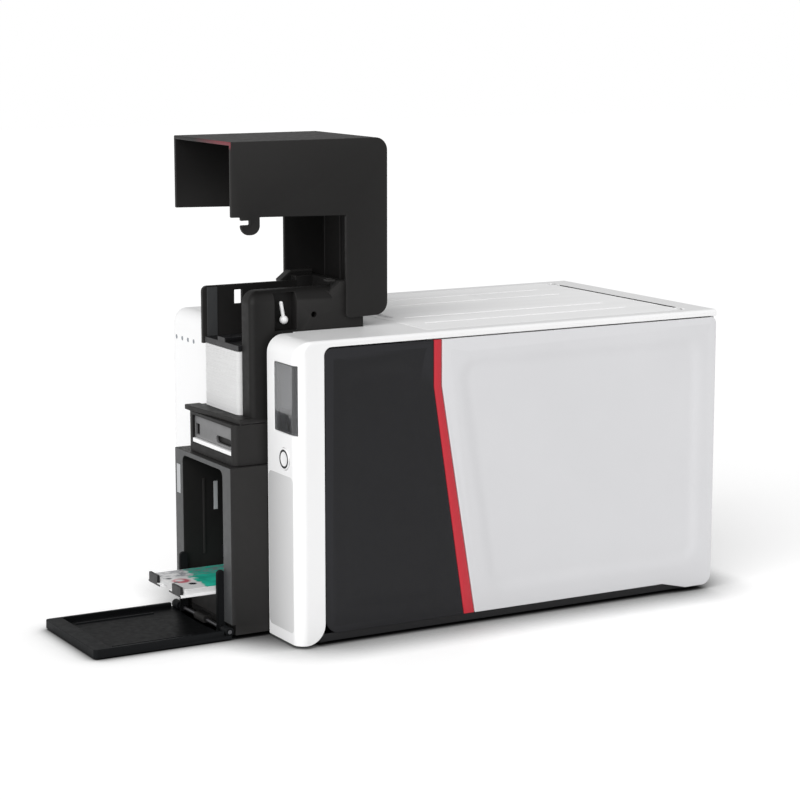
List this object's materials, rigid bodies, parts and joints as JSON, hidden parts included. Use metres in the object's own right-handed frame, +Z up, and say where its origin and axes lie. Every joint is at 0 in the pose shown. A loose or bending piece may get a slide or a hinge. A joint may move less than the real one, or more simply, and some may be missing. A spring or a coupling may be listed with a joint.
{
  "type": "id card printer",
  "caption": "Desktop card printer with a hinged feeder cover, gravity card feeder, output hopper with drop-down door and sliding tray, lifting lid and rear sockets",
  "frame": {"origin": "middle of the footprint at rest, on the plane that the feet stand on", "axes": "+X towards the printer's control-strip side, -Y towards the card feeder end, +Z up"},
  "size_m": [0.205, 0.4766, 0.342],
  "materials": {
    "white_shell": "fine-textured white moulding",
    "pale_plastic": "fine-textured pale grey moulding",
    "dark_plastic": "fine-textured charcoal moulding",
    "red_trim": "deep red moulding",
    "smoked_window": "smoked glossy window",
    "clear_lamp": "clear light guides",
    "grey_plastic": "plain grey moulding",
    "card_stock": "smooth white card",
    "steel": "plain steel",
    "alloy": "bare cast alloy",
    "rubber": "matt black rubber",
    "film": "dyed ribbon film",
    "circuit": "lacquered circuit board"
  },
  "bodies": {
    "casing": {"base_tray": "dark_plastic", "rubber_feet": "rubber", "main_cover": "white_shell", "dark_panel_near": "dark_plastic", "accent_strip_near": "red_trim", "pale_panel_near": "pale_plastic", "dark_panel_far": "dark_plastic", "accent_strip_far": "red_trim", "pale_panel_far": "pale_plastic", "rear_cover": "pale_plastic", "case_screws": "steel", "hopper_housing": "dark_plastic", "door_hinge_pin": "steel", "feeder_frame": "dark_plastic", "cover_hinge_pins": "steel", "blank_cards": "card_stock", "feeder_base": "grey_plastic", "exit_plate": "pale_plastic", "exit_bar": "white_shell", "lid_hinge_pin": "steel", "window_lens": "smoked_window", "window_backing": "dark_plastic", "level_flag": "dark_plastic", "panel_board": "circuit", "indicator_lamps": "clear_lamp", "frame_plate_left": "steel", "frame_plate_right": "steel", "tie_bars": "steel", "drive_belt": "rubber", "motor_belt": "rubber", "drive_motor": "steel", "card_rails": "steel", "ribbon_cassette": "grey_plastic", "ribbon_web": "film", "ribbon_motor": "steel", "control_board": "circuit", "usb_socket": "steel", "network_socket": "steel", "power_inlet": "dark_plastic", "rocker_housing": "dark_plastic"},
    "cover": {"feeder_cover": "dark_plastic"},
    "door": {"output_door": "dark_plastic"},
    "tray": {"output_tray": "dark_plastic", "printed_cards": "card_stock"},
    "lid": {"top_lid": "white_shell", "head_bracket": "steel", "print_head": "alloy"},
    "lever": {"gauge_lever": "white_shell"},
    "weight": {"card_weight": "dark_plastic"},
    "button": {"push_button": "white_shell"},
    "rocker": {"power_rocker": "dark_plastic"},
    "motor_wheel": {"motor_pulley": "steel"},
    "pickup": {"pickup_roller": "rubber"},
    "feed": {"feed_roller": "rubber"},
    "platen": {"platen_roller": "rubber"},
    "relay": {"relay_roller": "rubber"},
    "exit": {"exit_roller": "rubber"},
    "cleaner": {"cleaning_roller": "rubber"},
    "supply": {"supply_spool": "film"},
    "takeup": {"takeup_spool": "film"}
  },
  "joints": [
    {"name": "cover_hinge", "type": "hinge", "parent": "casing", "child": "cover", "pos_m": [0.011, -0.03135, 0.232], "axis": [1, 0, 0], "range_deg": [0, 90]},
    {"name": "door_hinge", "type": "hinge", "parent": "casing", "child": "door", "pos_m": [0.011, -0.13825, 0.006], "axis": [-1, 0, 0], "range_deg": [0, 90]},
    {"name": "tray_slide", "type": "slide", "parent": "casing", "child": "tray", "axis": [0, 1, 0], "range_m": [0, 0.0285]},
    {"name": "lid_hinge", "type": "hinge", "parent": "casing", "child": "lid", "pos_m": [0, 0.21575, 0.2085], "axis": [-1, 0, 0], "range_deg": [0, 70]},
    {"name": "lever_hinge", "type": "hinge", "parent": "casing", "child": "lever", "pos_m": [0.0484, -0.09075, 0.219], "axis": [1, 0, 0], "range_deg": [-25, 25]},
    {"name": "weight_slide", "type": "slide", "parent": "casing", "child": "weight", "axis": [0, 0, 1], "range_m": [0, 0.034]},
    {"name": "button_slide", "type": "slide", "parent": "casing", "child": "button", "axis": [0, 1, 0], "range_m": [0, 0.0015], "stiffness_N_per_m": 500, "springref_m": -0.001},
    {"name": "rocker_hinge", "type": "hinge", "parent": "casing", "child": "rocker", "pos_m": [0.079, 0.23095, 0.026], "axis": [1, 0, 0], "range_deg": [0, 18]},
    {"name": "motor_spin", "type": "hinge", "parent": "casing", "child": "motor_wheel", "pos_m": [0, 0.10575, 0.1], "axis": [1, 0, 0], "continuous": true},
    {"name": "platen_spin", "type": "hinge", "parent": "casing", "child": "platen", "pos_m": [0, 0.06475, 0.145], "axis": [1, 0, 0], "continuous": true},
    {"name": "pickup_spin", "type": "hinge", "parent": "casing", "child": "pickup", "pos_m": [0, -0.05425, 0.145], "axis": [1, 0, 0], "continuous": true},
    {"name": "feed_spin", "type": "hinge", "parent": "casing", "child": "feed", "pos_m": [0, -0.01025, 0.145], "axis": [1, 0, 0], "continuous": true},
    {"name": "relay_spin", "type": "hinge", "parent": "casing", "child": "relay", "pos_m": [0, 0.12625, 0.145], "axis": [1, 0, 0], "continuous": true},
    {"name": "exit_spin", "type": "hinge", "parent": "casing", "child": "exit", "pos_m": [0, 0.18725, 0.145], "axis": [1, 0, 0], "continuous": true},
    {"name": "cleaner_spin", "type": "hinge", "parent": "casing", "child": "cleaner", "pos_m": [0, -0.01025, 0.16106], "axis": [1, 0, 0], "continuous": true},
    {"name": "takeup_spin", "type": "hinge", "parent": "casing", "child": "takeup", "pos_m": [0, 0.02675, 0.178], "axis": [1, 0, 0], "continuous": true},
    {"name": "supply_spin", "type": "hinge", "parent": "casing", "child": "supply", "pos_m": [0, 0.10275, 0.178], "axis": [1, 0, 0], "continuous": true}
  ],
  "couplings": [
    {"joint": "tray_slide", "follows": "door_hinge", "m_per_rad": 0.018144},
    {"joint": "motor_spin", "follows": "platen_spin", "ratio": 1.6667},
    {"joint": "pickup_spin", "follows": "platen_spin", "ratio": 1},
    {"joint": "feed_spin", "follows": "platen_spin", "ratio": 1},
    {"joint": "relay_spin", "follows": "platen_spin", "ratio": 1},
    {"joint": "exit_spin", "follows": "platen_spin", "ratio": 1},
    {"joint": "cleaner_spin", "follows": "platen_spin", "ratio": -1.1429},
    {"joint": "supply_spin", "follows": "takeup_spin", "ratio": 0.6}
  ]
}
